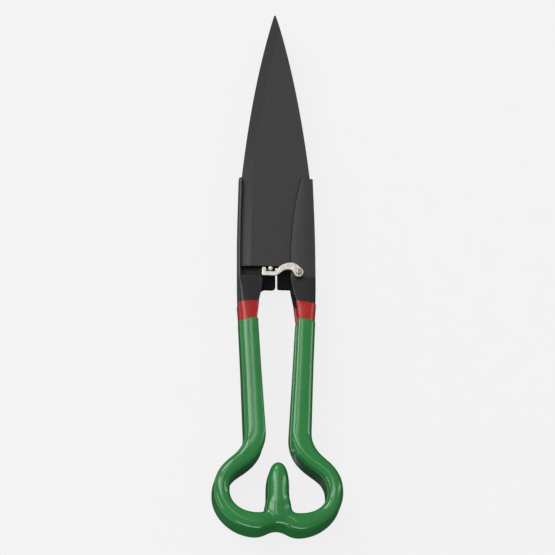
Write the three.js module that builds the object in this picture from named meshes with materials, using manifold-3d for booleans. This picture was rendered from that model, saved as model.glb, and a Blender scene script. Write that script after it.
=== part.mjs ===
// One-hand hedge shears: two coated blades in folded steel shanks, joined by a heart-shaped spring bow.
// Millimetres. +Y runs from the bow to the blade tips, +Z points away from the surface it lies on.
// The right half is drawn; the left half is the same half turned 180 degrees about the long axis.
import * as THREE from 'three';
import { mergeVertices } from 'three/addons/utils/BufferGeometryUtils.js';
import Module from 'manifold-3d';

const wasm = await Module();
wasm.setup();

// Driving dimensions
const LENGTH = 320;
const BOW_DEPTH = 24;
const MID_Z = BOW_DEPTH / 2;
const TIP_Y = LENGTH / 2;
const GAP = 0.3;
const OVERSHOOT = 2;

// Blade
const BLADE_THICK = 2;
const BLADE_LIFT = 0.15;
const BLADE_HALF_WIDTH = 21.2;
const BLADE_HEEL_Y = 4;
const SHOULDER = new THREE.Vector2(20.2, 57);
const EDGE_SWELL = new THREE.Vector2(13.7, 115.5);
const TIP_HALF = 0.6;
const TIP_DROP = 0.3;
const BEVEL_WIDTH = 5.9;
const EDGE_LAND = 0.4;
const BEVEL_START = 0.07;
const BEVEL_NOSE = new THREE.Vector2(-0.05, 0.2);
const BEVEL_CORNER = new THREE.Vector2(-0.3, -0.3);
const EDGE_STEPS = 14;

// Stop lug at the blade's heel, with a rounded web beside it inside the channel
const LUG_GAP = 0.6;
const LUG_Y = -9.9;
const LUG_WIDTH = 12.4;
const LUG_DROP = 1.1;
const LUG_RISE = BLADE_HEEL_Y - 1 - LUG_Y;
const WEB = [[20.6, -4], [14, -13.4], [9.9, -13.4], [9.3, -11.6], [8.2, -10.4], [6.6, LUG_Y]];

// Grip: path of the coated bar, right half
const FLEX = new THREE.Vector2(33.6, -136);
const LOOP_TOP = new THREE.Vector2(24.5, -119.2);
const GRIP_FOOT = new THREE.Vector2(13.5, -101);
const GRIP_HEAD = new THREE.Vector2(16.8, -30);
const FLEX_GAP = 0.4;
const GRIP_BEND = 3.4;
const GRIP_STEPS = [5, 6, 3];

// Rows along the grip: y, width, depth, coat thickness, steel wall, channel share (0 bar, 1 channel)
const GRIP_ROWS = [
  [-136, 9.2, 24, 3.2, 2.6, 0],
  [-120, 9.6, 24, 3.0, 2.6, 0],
  [-110, 12.0, 23.4, 2.2, 2.2, 0.55],
  [-101, 12.2, 22.5, 1.5, 2.0, 1],
  [-60, 11.1, 20.5, 1.2, 1.8, 1],
  [-30, 10.2, 18.8, 0.8, 1.6, 1],
];

// Rows along the bare shank: y, outer x, front edge x, back edge x, half depth, wall, bend radius
const LIP = 1.9;
const SHANK_ROWS = [
  [-19.5, 22.1, 11.2, 11.2, 8.75, 1.5, 3.0],
  [-10, 22.9, 8.9, 8.9, 6.6, 1.3, 2.4],
  [-2.8, 23.1, 8.0, 8.0, 3.6, 1.15, 1.3],
  [-2.4, 23.1, 8.0, 23.1 - LIP, 3.6, 1.15, 1.3],
  [16, 23.0, 8.3, 23.0 - LIP, 3.6, 1.15, 1.3],
  [30, 22.7, 9.4, 22.7 - LIP, 3.6, 1.15, 1.3],
  [44, 22.25, 11.5, 22.25 - LIP, 3.6, 1.1, 1.3],
  [58, 21.75, 14.6, 21.75 - LIP, 3.6, 1.1, 1.3],
];

// Bow: lobe, hairpin and coat
const LOBE_X = 12.4;
const LOBE_Y = -154.5;
const LOBE_WIDTH = 11;
const LEG_X = 3.1;
const LEG_BASE_Y = -145.2;
const LEG_TOP_Y = -125.2;
const LEG_WIDTH = 6.2;
const STRIP_HEIGHT = 17.6;
const STRIP_WALL = 2.6;
const SPIKE = { top: -118.4, half: 6.3, round: 3.2, nose: 12, blunt: 1.6, flare: 2.2 };
const NOTCH_Y = -157.2;
const NOTCH_RISE = 1.9;
const COAT_CORNER = 4.2;
const HAIRPIN_STEPS = 6;

// Dip lines
const RED_TOP_Y = -19.7;
const RED_END_Y = -29.6;
const RED_THICK = 0.3;
const SKIN_GAP = 0.2;

// Latch: swinging hook on the right half, catch stud on the left half
const PIVOT = new THREE.Vector2(12.7, -0.6);
const HOOK_Z = 16.9;
const HOOK_THICK = 1.7;
const BOSS_RADIUS = 2.7;
const TAB = { left: -9.0, right: -6.6, top: 1.9, corner: 1.0 };
const BAR_Y = -1.75;
const BAR_HALF = 1.15;
const STUD = new THREE.Vector2(-3.9, 1.4);
const STUD_BALL = 1.4;
const STUD_POST = 0.9;
const STUD_BALL_Z = 17.6;
const RIVET_RADIUS = 1.2;
const RIVET_HEAD = 2.0;
const RIVET_HEAD_THICK = 0.9;
const TAIL_RADIUS = 1.9;
const TAIL_DEPTH = 0.9;
const WASHER_RADIUS = 2.2;
const WASHER_THICK = 0.7;
const HOOK_ROWS = [
  [PIVOT.x, PIVOT.y, 2.6], [9.9, 2.5, 2.15], [6.7, 2.9, 1.95], [3.2, 1.8, 1.6], [0.6, -0.5, 1.35],
  [-1.2, BAR_Y, BAR_HALF], [-4.5, BAR_Y, BAR_HALF], [TAB.left + TAB.corner, BAR_Y, BAR_HALF],
];
const HOOK_STEPS = 22;
const BALL_STEPS = 6;
const ROUND_SIDES = 20;

const UP = new THREE.Vector2(0, 1);
const BLACK = { color: 0x2b2b2e, roughness: 0.45, metalness: 0.6 };
const BLADE_BLACK = { color: 0x454447, roughness: 0.5, metalness: 0.6 };
const GREEN = { color: 0x2c7f3f, roughness: 0.25, metalness: 0 };
const RED = { color: 0xb02022, roughness: 0.3, metalness: 0 };
const STEEL = { color: 0x8a8a88, roughness: 0.4, metalness: 1 };
const NICKEL = { color: 0xc9c2a8, roughness: 0.3, metalness: 1 };

function rowAt(rows, y) {
  // Straight-line value of every column of a row table at height y
  const upper = Math.max(1, rows.findIndex((row) => row[0] >= y));
  const low = rows[upper - 1];
  const high = rows[upper];
  const share = (y - low[0]) / (high[0] - low[0]);
  return low.map((value, column) => THREE.MathUtils.lerp(value, high[column], share));
}

function corner(centreX, centreZ, radius, fromTurn, toTurn) {
  // Three points on a quarter arc; turns are in quarter circles
  return [fromTurn, (fromTurn + toTurn) / 2, toTurn].map((turn) => {
    const angle = (turn * Math.PI) / 2;
    return [centreX + radius * Math.cos(angle), centreZ + radius * Math.sin(angle)];
  });
}

function channelLoop(channel, grow) {
  // Folded sheet: front flange, rounded web, back flange, grown evenly by `grow`
  const { outer, frontEdge, backEdge, half, wall, bend } = channel;
  const out = outer + grow;
  const top = half + grow;
  const thick = wall + 2 * grow;
  const round = bend + grow;
  const inner = Math.max(bend - wall - grow, 0.2);
  const nose = Math.min(thick / 2, 0.9) * 0.8;
  const front = frontEdge - grow;
  const back = backEdge - grow;
  return [
    [front + nose, top - thick], [front, top - thick / 2], [front + nose, top],
    ...corner(out - round, top - round, round, 1, 0),
    ...corner(out - round, round - top, round, 0, -1),
    [back + nose, -top], [back, thick / 2 - top], [back + nose, thick - top],
    [out - thick - inner, thick - top], [out - thick, thick - top + inner],
    [out - thick, top - thick - inner], [out - thick - inner, top - thick],
  ];
}

function barLoop(halfWidth, halfDepth, radius) {
  // Rounded bar with its points in the same order as a channel's
  const flat = halfDepth - radius;
  const side = halfWidth - radius;
  return [
    ...corner(-side, flat, radius, 2, 1),
    ...corner(side, flat, radius, 1, 0),
    ...corner(side, -flat, radius, 0, -1),
    ...corner(-side, -flat, radius, -1, -2),
    ...[-2, -1, 1, 2].map((third) => [-halfWidth, (flat * third) / 3]),
  ];
}

function mixLoops(bar, channel, share) {
  return bar.map((point, i) => point.map((value, k) => THREE.MathUtils.lerp(value, channel[i][k], share)));
}

function gripLoop(y, grow) {
  // Steel section of the grip at height y, grown by `grow`; null grows it to the full coat
  const [, width, depth, coat, wall, share] = rowAt(GRIP_ROWS, y);
  const more = grow ?? coat;
  const barHalf = wall / 2 + more;
  const bar = barLoop(barHalf, depth / 2 - coat + more, Math.min(COAT_CORNER, barHalf * 0.8));
  const outer = width / 2 - coat;
  const half = depth / 2 - coat;
  const channel = { outer, frontEdge: -outer, backEdge: -outer, half, wall, bend: GRIP_BEND };
  return mixLoops(bar, channelLoop(channel, more), share);
}

function shankLoop(row, grow) {
  const [, outer, frontEdge, backEdge, half, wall, bend] = row;
  return channelLoop({ outer, frontEdge, backEdge, half, wall, bend }, grow);
}

function place(loop, point, tangent) {
  // Stand a section loop across the path: its first coordinate runs to the right of the heading
  return loop.map(([side, z]) => [
    point.x + side * tangent.y,
    point.y - side * tangent.x,
    MID_Z + z,
  ]);
}

function loft(loops, capLoops) {
  // Closed solid through rings of points; capLoops are the flat outlines of the first and last ring
  const ring = loops[0].length;
  const index = [];
  for (let row = 0; row < loops.length - 1; row += 1) {
    for (let i = 0; i < ring; i += 1) {
      const a = row * ring + i;
      const b = row * ring + ((i + 1) % ring);
      index.push(a, b, b + ring, a, b + ring, a + ring);
    }
  }
  capLoops.forEach((outline, end) => {
    const flat = outline.map(([u, v]) => new THREE.Vector2(u, v));
    const base = end * (loops.length - 1) * ring;
    const clockwise = THREE.ShapeUtils.isClockWise(flat) ? 1 : 0;
    THREE.ShapeUtils.triangulateShape(flat, []).forEach(([a, b, c]) => {
      const keep = clockwise === end;
      index.push(base + a, base + (keep ? c : b), base + (keep ? b : c));
    });
  });
  const geometry = new THREE.BufferGeometry();
  geometry.setAttribute('position', new THREE.Float32BufferAttribute(loops.flat(2), 3));
  geometry.setIndex(index);
  return outward(geometry);
}

function outward(geometry) {
  // Turn every face over when the closed mesh measures a negative volume
  const at = geometry.getAttribute('position');
  const index = geometry.getIndex();
  const [a, b, c] = [new THREE.Vector3(), new THREE.Vector3(), new THREE.Vector3()];
  let volume = 0;
  for (let i = 0; i < index.count; i += 3) {
    a.fromBufferAttribute(at, index.getX(i));
    b.fromBufferAttribute(at, index.getX(i + 1));
    c.fromBufferAttribute(at, index.getX(i + 2));
    volume += a.dot(b.cross(c));
  }
  if (volume < 0) {
    geometry.setIndex(Array.from(index.array).reverse());
  }
  return geometry;
}

function toSolid(geometry) {
  const bare = geometry.clone();
  bare.deleteAttribute('normal');
  bare.deleteAttribute('uv');
  const merged = mergeVertices(bare, 1e-4);
  const vertProperties = new Float32Array(merged.getAttribute('position').array);
  const triVerts = new Uint32Array(merged.getIndex().array);
  return new wasm.Manifold(new wasm.Mesh({ numProp: 3, vertProperties, triVerts }));
}

function fromSolid(solid) {
  const mesh = solid.getMesh();
  const geometry = new THREE.BufferGeometry();
  geometry.setAttribute('position', new THREE.Float32BufferAttribute(Array.from(mesh.vertProperties), 3));
  geometry.setIndex(Array.from(mesh.triVerts));
  return geometry;
}

function cut(geometry, ...tools) {
  return fromSolid(tools.reduce((solid, tool) => solid.subtract(toSolid(tool)), toSolid(geometry)));
}

function join(...geometries) {
  return fromSolid(geometries.map(toSolid).reduce((all, next) => all.add(next)));
}

function pin(centre, radius, lowZ, highZ) {
  const geometry = new THREE.CylinderGeometry(radius, radius, highZ - lowZ, ROUND_SIDES);
  geometry.rotateX(Math.PI / 2);
  geometry.translate(centre.x, centre.y, (lowZ + highZ) / 2);
  return geometry;
}

function turned(profile, centre) {
  // Round piece about a vertical axis from [radius, z] pairs
  const geometry = new THREE.LatheGeometry(profile.map(([r, z]) => new THREE.Vector2(r, z)), ROUND_SIDES);
  geometry.rotateX(Math.PI / 2);
  geometry.translate(centre.x, centre.y, 0);
  return outward(mergeVertices(geometry.deleteAttribute('uv').deleteAttribute('normal'), 1e-4));
}

function gripPath() {
  // Flex line at the side of the eye, round its top, over the shoulder and up the grip
  const path = new THREE.CurvePath();
  path.add(new THREE.CubicBezierCurve(
    FLEX, new THREE.Vector2(FLEX.x, -127.5), new THREE.Vector2(30.1, -123.4), LOOP_TOP));
  path.add(new THREE.CubicBezierCurve(
    LOOP_TOP, new THREE.Vector2(19.3, -115.3), new THREE.Vector2(13.8, -110), GRIP_FOOT));
  path.add(new THREE.LineCurve(GRIP_FOOT, GRIP_HEAD));
  return path;
}

function gripStations(steps) {
  // Points and headings along the grip, the same number on each stretch of the path
  const stations = [];
  gripPath().curves.forEach((curve, stretch) => {
    for (let i = stretch === 0 ? 0 : 1; i <= steps[stretch]; i += 1) {
      const share = i / steps[stretch];
      stations.push({ point: curve.getPoint(share), tangent: curve.getTangent(share) });
    }
  });
  return stations;
}

function gripRings(grow, startY, endY) {
  // Rings from the flex line to the head of the grip, the end rings moved to startY and endY
  const stations = gripStations(GRIP_STEPS);
  const rings = stations.map(({ point, tangent }) => ({ loop: gripLoop(point.y, grow), point, tangent }));
  const first = rings[0];
  const last = rings[rings.length - 1];
  rings[0] = { ...first, point: new THREE.Vector2(FLEX.x, startY), tangent: UP };
  rings[rings.length - 1] = { ...last, point: new THREE.Vector2(GRIP_HEAD.x, endY), tangent: UP };
  return rings;
}

function shankRings(grow) {
  return SHANK_ROWS.map((row) => ({
    loop: shankLoop(row, grow),
    point: new THREE.Vector2(0, row[0]),
    tangent: UP,
  }));
}

function ringsToSolid(rings) {
  const loops = rings.map(({ loop, point, tangent }) => place(loop, point, tangent));
  return loft(loops, [rings[0].loop, rings[rings.length - 1].loop]);
}

function shankSteel(grow, startY) {
  return ringsToSolid([...gripRings(grow, startY, GRIP_HEAD.y), ...shankRings(grow)]);
}

function gripCoat() {
  const full = ringsToSolid(gripRings(null, FLEX.y + FLEX_GAP / 2, GRIP_HEAD.y));
  return cut(full, shankSteel(SKIN_GAP, FLEX.y - OVERSHOOT));
}

function redBand() {
  // A thin painted sleeve round the channel between the two dip lines
  const outer = shankSteel(SKIN_GAP + RED_THICK, FLEX.y);
  const inner = shankSteel(SKIN_GAP, FLEX.y);
  const height = RED_TOP_Y - RED_END_Y;
  const block = new THREE.BoxGeometry(BLADE_HALF_WIDTH * 2, height, BOW_DEPTH * 2);
  block.translate(GRIP_HEAD.x, RED_END_Y + height / 2, MID_Z);
  return fromSolid(toSolid(outer).intersect(toSolid(block)).subtract(toSolid(inner)));
}

function edgeCurve() {
  const path = new THREE.CurvePath();
  const tip = new THREE.Vector2(TIP_HALF, TIP_Y - TIP_DROP);
  path.add(new THREE.QuadraticBezierCurve(tip, EDGE_SWELL, SHOULDER));
  path.add(new THREE.LineCurve(SHOULDER, new THREE.Vector2(BLADE_HALF_WIDTH, BLADE_HEEL_Y)));
  return path;
}

function bladeOutline(inset) {
  // Cutting edge on the left from heel to tip, set in by the bevel, then the spine, the web and the lug
  const curve = edgeCurve();
  const start = inset > 0 ? BEVEL_START : 0;
  const steps = Array.from({ length: EDGE_STEPS + 1 }, (_, i) => i / EDGE_STEPS);
  const shares = steps.map((step) => THREE.MathUtils.lerp(start, 1, step));
  const spine = shares.map((share) => curve.getPoint(share));
  const edge = shares.map((share) => {
    const point = curve.getPoint(share);
    const heading = curve.getTangent(share);
    return new THREE.Vector2(-point.x - inset * heading.y, point.y - inset * heading.x);
  });
  edge[EDGE_STEPS].y = BLADE_HEEL_Y;
  let nose = new THREE.Vector2(0, TIP_Y);
  if (inset > 0) {
    nose = spine[0].clone().add(BEVEL_NOSE);
    edge[0].copy(spine[0]).add(BEVEL_CORNER);
  }
  const sides = [...edge.reverse(), nose, ...spine].map((point) => [point.x, point.y]);
  return [...sides, ...WEB, [LUG_GAP, LUG_Y], [LUG_GAP, BLADE_HEEL_Y]];
}

function bladeBody() {
  const low = MID_Z + BLADE_LIFT;
  const full = bladeOutline(0);
  const face = bladeOutline(BEVEL_WIDTH);
  const atHeight = (outline, z) => outline.map(([x, y]) => [x, y, z]);
  const plate = loft(
    [atHeight(full, low), atHeight(full, low + EDGE_LAND), atHeight(face, low + BLADE_THICK)],
    [full, face],
  );
  const width = LUG_WIDTH - 1;
  const depth = LUG_DROP + BLADE_THICK;
  const lug = new THREE.BoxGeometry(width, LUG_RISE, depth);
  lug.translate(LUG_GAP + width / 2, LUG_Y + LUG_RISE / 2, low - LUG_DROP + depth / 2);
  return join(plate, lug);
}

function addMesh(parent, name, geometry, material) {
  geometry.computeVertexNormals();
  const mesh = new THREE.Mesh(geometry, new THREE.MeshStandardMaterial(material));
  mesh.name = name;
  parent.add(mesh);
  return mesh;
}

function legTurn(turn, radius) {
  const angle = turn * Math.PI;
  return new THREE.Vector2(radius * Math.cos(angle), LEG_TOP_Y + radius * Math.sin(angle));
}

function quarterStations(centre, radii, from, to, steps) {
  // Points and headings along part of an ellipse, its start left out; angles are in half turns
  return Array.from({ length: steps }, (_, i) => {
    const angle = THREE.MathUtils.lerp(from, to, (i + 1) / steps) * Math.PI;
    const [along, up] = [Math.cos(angle), Math.sin(angle)];
    return {
      point: new THREE.Vector2(centre.x + radii.x * along, centre.y + radii.y * up),
      tangent: new THREE.Vector2(-radii.x * up, radii.y * along).normalize(),
    };
  });
}

function lobeStations(startPoint) {
  // From the hairpin leg down round the lobe and up to the flex line, right half, heading that way
  const inner = new THREE.Vector2(LOBE_X, LEG_BASE_Y);
  const innerRadii = new THREE.Vector2(LOBE_X - LEG_X, LEG_BASE_Y - LOBE_Y);
  const outer = new THREE.Vector2(LOBE_X, FLEX.y);
  const outerRadii = new THREE.Vector2(FLEX.x - LOBE_X, FLEX.y - LOBE_Y);
  const down = UP.clone().negate();
  return [
    { point: startPoint, tangent: down },
    { point: new THREE.Vector2(LEG_X, LEG_BASE_Y), tangent: down },
    ...quarterStations(inner, innerRadii, 1, 1.5, 4),
    ...quarterStations(outer, outerRadii, 1.5, 2, 7),
  ];
}

function lobeWidth(point) {
  // Coated thickness: leg width at the spike, thickest under the lobe, grip width at the flex line
  const toLobe = THREE.MathUtils.smoothstep(point.x, LEG_X, LOBE_X);
  const toFlex = THREE.MathUtils.smoothstep(point.x, LOBE_X, FLEX.x);
  const lobe = THREE.MathUtils.lerp(LEG_WIDTH, LOBE_WIDTH, toLobe);
  return THREE.MathUtils.lerp(lobe, GRIP_ROWS[0][1], toFlex);
}

function lobeSolid() {
  const start = new THREE.Vector2(LEG_X, LEG_BASE_Y + 2);
  const rings = lobeStations(start).map(({ point, tangent }) => {
    const half = lobeWidth(point) / 2;
    const radius = Math.min(COAT_CORNER, half * 0.85);
    return { loop: barLoop(half, BOW_DEPTH / 2, radius), point, tangent };
  });
  const last = rings[rings.length - 1];
  last.point = new THREE.Vector2(FLEX.x, FLEX.y - FLEX_GAP / 2);
  return ringsToSolid(rings);
}

function spikeSolid() {
  // The merged coat of the two hairpin legs: a blunt tongue that flares into the lobes below
  const inset = SPIKE.round;
  const half = SPIKE.half - inset;
  const top = SPIKE.top - inset;
  const shoulder = top - SPIKE.nose;
  const pull = (top + shoulder) / 2;
  const foot = NOTCH_Y + inset;
  const outline = new THREE.Shape();
  outline.moveTo(-half - SPIKE.flare, foot);
  outline.quadraticCurveTo(0, foot + NOTCH_RISE, half + SPIKE.flare, foot);
  outline.lineTo(half, LEG_BASE_Y);
  outline.lineTo(half, shoulder);
  outline.bezierCurveTo(half, pull, SPIKE.blunt, top, 0, top);
  outline.bezierCurveTo(-SPIKE.blunt, top, -half, pull, -half, shoulder);
  outline.lineTo(-half, LEG_BASE_Y);
  const geometry = new THREE.ExtrudeGeometry(outline, {
    depth: BOW_DEPTH - 2 * inset, bevelThickness: inset, bevelSize: inset, bevelSegments: 3, curveSegments: 6,
  });
  geometry.translate(0, 0, inset);
  return geometry;
}

function stripRings(grow, endY) {
  // The spring strip from one flex line round the hairpin to the other
  const half = STRIP_WALL / 2 + grow;
  const loop = barLoop(half, STRIP_HEIGHT / 2 + grow, half * 0.6);
  const right = lobeStations(new THREE.Vector2(LEG_X, (LEG_TOP_Y + LEG_BASE_Y) / 2));
  right[right.length - 1].point = new THREE.Vector2(FLEX.x, endY);
  const left = right.map(({ point, tangent }) => ({
    point: new THREE.Vector2(-point.x, point.y),
    tangent: new THREE.Vector2(tangent.x, -tangent.y),
  })).reverse();
  const hairpin = Array.from({ length: HAIRPIN_STEPS + 1 }, (_, i) => {
    const turn = 1 - i / HAIRPIN_STEPS;
    const along = new THREE.Vector2(Math.sin(turn * Math.PI), -Math.cos(turn * Math.PI));
    return { point: legTurn(turn, LEG_X), tangent: along };
  });
  return [...left, ...hairpin, ...right].map((station) => ({ loop, ...station }));
}

function bowCoat() {
  const right = lobeSolid();
  const left = lobeSolid();
  left.scale(-1, 1, 1);
  const shell = join(right, outward(left), spikeSolid());
  return cut(shell, ringsToSolid(stripRings(SKIN_GAP, FLEX.y + OVERSHOOT)));
}

function hookBody() {
  const line = new THREE.CatmullRomCurve3(HOOK_ROWS.map((row) => new THREE.Vector3(...row)));
  const upper = [];
  const lower = [];
  for (let i = 0; i <= HOOK_STEPS; i += 1) {
    const { x, y, z: half } = line.getPoint(i / HOOK_STEPS);
    const tangent = line.getTangent(i / HOOK_STEPS);
    const across = new THREE.Vector2(-tangent.y, tangent.x).normalize().multiplyScalar(half);
    upper.push(new THREE.Vector2(x + across.x, y + across.y));
    lower.push(new THREE.Vector2(x - across.x, y - across.y));
  }
  const flat = { depth: HOOK_THICK, bevelEnabled: false, curveSegments: 5 };
  const arm = new THREE.ExtrudeGeometry(new THREE.Shape([...upper, ...lower.reverse()]), flat);
  arm.translate(0, 0, HOOK_Z);
  const { left, right, top, corner: round } = TAB;
  const bottom = BAR_Y - BAR_HALF;
  const outline = new THREE.Shape();
  outline.moveTo(left + round / 2, bottom);
  outline.lineTo(right, bottom);
  outline.lineTo(right, top - round);
  outline.absarc(right - round, top - round, round, 0, Math.PI / 2);
  outline.absarc(left + round, top - round, round, Math.PI / 2, Math.PI);
  outline.lineTo(left, bottom + round / 2);
  const tab = new THREE.ExtrudeGeometry(outline, flat);
  tab.translate(0, 0, HOOK_Z);
  const boss = pin(PIVOT, BOSS_RADIUS, HOOK_Z, HOOK_Z + HOOK_THICK);
  const bore = pin(PIVOT, RIVET_RADIUS + GAP, HOOK_Z - 1, HOOK_Z + HOOK_THICK + 1);
  return cut(join(arm, tab, boss), bore);
}

function rivetBody() {
  const tail = MID_Z + BLADE_LIFT;
  const head = HOOK_Z + HOOK_THICK + GAP;
  return turned([
    [0, tail], [TAIL_RADIUS, tail], [RIVET_RADIUS, tail + TAIL_DEPTH], [RIVET_RADIUS, head],
    [RIVET_HEAD, head], [RIVET_HEAD, head + RIVET_HEAD_THICK * 0.5],
    [RIVET_HEAD * 0.7, head + RIVET_HEAD_THICK * 0.9], [0, head + RIVET_HEAD_THICK],
  ], PIVOT);
}

function washerBody() {
  const low = HOOK_Z - GAP - WASHER_THICK;
  const ring = pin(PIVOT, WASHER_RADIUS, low, low + WASHER_THICK);
  return cut(ring, pin(PIVOT, RIVET_RADIUS + GAP, low - 1, low + WASHER_THICK + 1));
}

function taperedHole(centre, lowZ, highZ, radius) {
  // Clearance hole with a countersink at its low end for a flush tail
  return turned([
    [0, lowZ - 1], [TAIL_RADIUS + GAP + 1, lowZ - 1], [TAIL_RADIUS + GAP + 0.2, lowZ],
    [radius + GAP, lowZ + TAIL_DEPTH + GAP], [radius + GAP, highZ], [0, highZ],
  ], centre);
}

function studBody() {
  const tail = MID_Z - BLADE_LIFT - BLADE_THICK;
  const low = STUD_BALL_Z - Math.sqrt(STUD_BALL ** 2 - STUD_POST ** 2);
  const start = Math.atan2(low - STUD_BALL_Z, STUD_POST);
  const ball = Array.from({ length: BALL_STEPS }, (_, i) => {
    const angle = THREE.MathUtils.lerp(start, Math.PI / 2, i / BALL_STEPS);
    return [STUD_BALL * Math.cos(angle), STUD_BALL_Z + STUD_BALL * Math.sin(angle)];
  });
  return turned([
    [0, tail], [TAIL_RADIUS, tail], [STUD_POST, tail + TAIL_DEPTH], ...ball, [0, STUD_BALL_Z + STUD_BALL],
  ], STUD);
}

function halfTurned(point) {
  return new THREE.Vector2(-point.x, point.y);
}

const shears = new THREE.Group();
const rightHalf = new THREE.Group();
const leftHalf = new THREE.Group();
leftHalf.rotation.y = Math.PI;
leftHalf.position.z = 2 * MID_Z;
shears.add(rightHalf, leftHalf);

const steel = shankSteel(0, FLEX.y + FLEX_GAP / 2);
const blade = bladeBody();
const coat = gripCoat();
const band = redBand();

// In the turned left half, the stud's tail sits at the blade's outer face, so the hole is cut from above
const studHole = taperedHole(halfTurned(STUD), 0, MID_Z * 2, STUD_POST);
studHole.applyMatrix4(new THREE.Matrix4().makeScale(1, 1, -1));
studHole.translate(0, 0, MID_Z + BLADE_LIFT + BLADE_THICK);
const pivotHole = taperedHole(PIVOT, MID_Z + BLADE_LIFT, MID_Z * 2, RIVET_RADIUS);
const flangeHole = pin(PIVOT, RIVET_RADIUS + GAP, MID_Z, MID_Z * 2);

addMesh(rightHalf, 'right_shank', cut(steel, flangeHole), BLACK);
addMesh(rightHalf, 'right_blade', cut(blade, pivotHole), BLADE_BLACK);
addMesh(rightHalf, 'right_grip_coat', coat, GREEN);
addMesh(rightHalf, 'right_red_band', band, RED);
addMesh(leftHalf, 'left_shank', steel.clone(), BLACK);
addMesh(leftHalf, 'left_blade', cut(blade, outward(studHole)), BLADE_BLACK);
addMesh(leftHalf, 'left_grip_coat', coat.clone(), GREEN);
addMesh(leftHalf, 'left_red_band', band.clone(), RED);
addMesh(shears, 'spring_bow', ringsToSolid(stripRings(0, FLEX.y - FLEX_GAP / 2)), STEEL);
addMesh(shears, 'bow_coat', bowCoat(), GREEN);
addMesh(shears, 'latch_hook', hookBody(), NICKEL);
addMesh(shears, 'latch_rivet', rivetBody(), NICKEL);
addMesh(shears, 'latch_washer', washerBody(), NICKEL);
addMesh(shears, 'catch_stud', studBody(), NICKEL);

export default shears;
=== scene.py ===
"""Looks of the one-hand hedge shears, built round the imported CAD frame.

Shapes are worked out in millimetres, in the frame's axes, and become metres when a mesh is made.
"""
import math

import bmesh
import bpy
import numpy as np
import openvdb
from mathutils import Matrix, Vector


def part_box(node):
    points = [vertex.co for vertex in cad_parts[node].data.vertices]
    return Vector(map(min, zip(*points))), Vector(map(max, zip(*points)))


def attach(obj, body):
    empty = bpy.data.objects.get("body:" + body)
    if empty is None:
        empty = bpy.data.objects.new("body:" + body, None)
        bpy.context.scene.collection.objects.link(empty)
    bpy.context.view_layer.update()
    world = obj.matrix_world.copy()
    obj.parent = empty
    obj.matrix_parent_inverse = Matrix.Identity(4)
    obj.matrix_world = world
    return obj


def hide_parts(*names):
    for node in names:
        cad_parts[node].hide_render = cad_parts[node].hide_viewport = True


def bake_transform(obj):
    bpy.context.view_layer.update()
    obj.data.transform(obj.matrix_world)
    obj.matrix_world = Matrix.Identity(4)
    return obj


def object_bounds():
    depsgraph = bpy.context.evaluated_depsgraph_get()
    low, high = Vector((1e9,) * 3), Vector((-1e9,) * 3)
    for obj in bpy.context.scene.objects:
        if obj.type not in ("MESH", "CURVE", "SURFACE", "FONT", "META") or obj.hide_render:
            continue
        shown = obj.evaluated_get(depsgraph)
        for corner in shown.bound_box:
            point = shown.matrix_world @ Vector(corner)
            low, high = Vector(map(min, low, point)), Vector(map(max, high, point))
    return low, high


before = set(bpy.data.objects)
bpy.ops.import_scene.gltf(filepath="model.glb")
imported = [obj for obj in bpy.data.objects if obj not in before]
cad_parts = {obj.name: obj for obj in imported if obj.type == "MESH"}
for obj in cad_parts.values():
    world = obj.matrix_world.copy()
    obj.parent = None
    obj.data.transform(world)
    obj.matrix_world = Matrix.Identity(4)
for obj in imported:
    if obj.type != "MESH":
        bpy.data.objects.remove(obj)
CAD_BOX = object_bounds()

MM = 0.001


def box_mm(node):
    """Lowest and highest corner of a CAD node, in millimetres."""
    low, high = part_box(node)
    return np.array(low) / MM, np.array(high) / MM


BOW_LOW, BOW_HIGH = box_mm("bow_coat")
_, GRIP_HIGH = box_mm("right_grip_coat")
_, BAND_HIGH = box_mm("right_red_band")
_, SHANK_HIGH = box_mm("right_shank")
BLADE_LOW, BLADE_HIGH = box_mm("right_blade")
HOOK_LOW, HOOK_HIGH = box_mm("latch_hook")
RIVET_LOW, RIVET_HIGH = box_mm("latch_rivet")
WASHER_LOW, WASHER_HIGH = box_mm("latch_washer")
STUD_LOW, STUD_HIGH = box_mm("catch_stud")

MID_Z = (BOW_LOW[2] + BOW_HIGH[2]) / 2
HALF_DEPTH = (BOW_HIGH[2] - BOW_LOW[2]) / 2
HEAD_Y = GRIP_HIGH[1]
PIVOT = (RIVET_LOW[:2] + RIVET_HIGH[:2]) / 2
STUD = (STUD_LOW[:2] + STUD_HIGH[:2]) / 2

# Heights of the flange's crease and the blade's heel line, and how far the lugs reach sideways
CREASE = -2.8
HEEL_Y = 4.0
LUG_REACH = 9.0

# How much each handle's dip lines slope across it
DIP_SLOPE = {"right": 0.15, "left": 0.05}


# ---------------------------------------------------------------- curves and numbers

def arc(centre, radius, start, end, steps):
    """Points on an arc; start and end are in quarter turns."""
    turns = np.linspace(start, end, steps + 1) * math.pi / 2
    return [(centre[0] + radius * math.cos(t), centre[1] + radius * math.sin(t)) for t in turns]


def bezier(points, steps):
    """Points on a cubic Bezier curve."""
    a, b, c, d = [np.array(p, float) for p in points]
    t = np.linspace(0, 1, steps + 1)[:, None]
    return (1 - t) ** 3 * a + 3 * t * (1 - t) ** 2 * b + 3 * t * t * (1 - t) * c + t ** 3 * d


def catmull(points, steps):
    """Points on a smooth curve through the given ones."""
    points = np.array(points, float)
    ends = np.vstack([2 * points[0] - points[1], points, 2 * points[-1] - points[-2]])
    out = []
    for i in range(1, len(ends) - 2):
        a, b, c, d = ends[i - 1:i + 3]
        for t in np.linspace(0, 1, steps, endpoint=False):
            out.append(0.5 * (2 * b + (c - a) * t + (2 * a - 5 * b + 4 * c - d) * t ** 2
                              + (3 * b - a - 3 * c + d) * t ** 3))
    out.append(points[-1])
    return np.array(out)


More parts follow.
